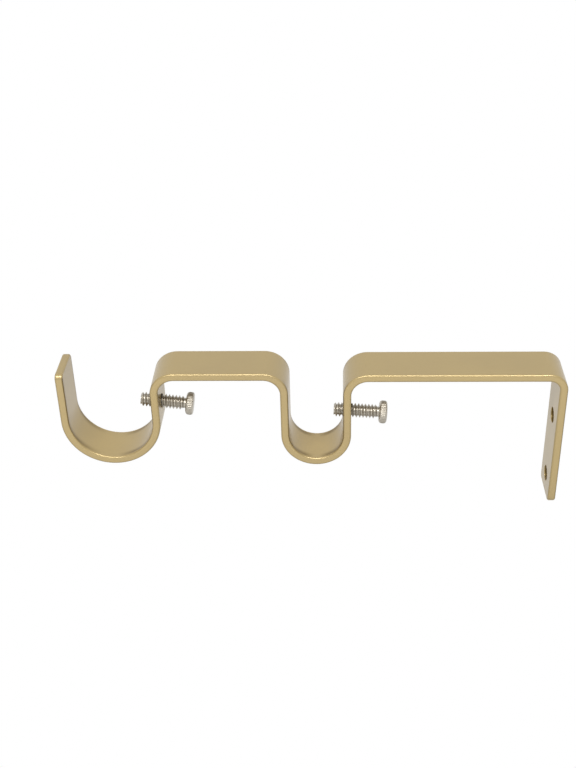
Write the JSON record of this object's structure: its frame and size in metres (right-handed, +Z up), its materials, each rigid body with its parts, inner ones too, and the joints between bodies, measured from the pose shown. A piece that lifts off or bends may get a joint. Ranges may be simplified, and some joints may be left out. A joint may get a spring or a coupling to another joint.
{
  "type": "double curtain pole bracket",
  "caption": "Double curtain pole bracket: a flat metal strap bent into a wall plate, an arm, a small hook, a shorter arm and a large hook, with a knurled screw in each hook.",
  "frame": {"origin": "midpoint of the wall holes, on the back face of the wall plate", "axes": "+X from the wall into the room along the arms, +Z up, Y along the poles"},
  "size_m": [0.156, 0.0144, 0.0486],
  "materials": {
    "strap_paint": "satin champagne gold paint on steel",
    "screw_nickel": "bright nickel plate"
  },
  "bodies": {
    "bracket": {"bracket_strap": "strap_paint"},
    "rear_screw": {"rear_pole_screw": "screw_nickel"},
    "front_screw": {"front_pole_screw": "screw_nickel"}
  },
  "joints": [
    {"name": "rear_screw_travel", "type": "slide", "parent": "bracket", "child": "rear_screw", "axis": [0.9974, 0, 0.0715], "range_m": [-0.0034, 0.0084]},
    {"name": "front_screw_travel", "type": "slide", "parent": "bracket", "child": "front_screw", "axis": [0.9928, 0, 0.1201], "range_m": [-0.0045, 0.007]}
  ]
}
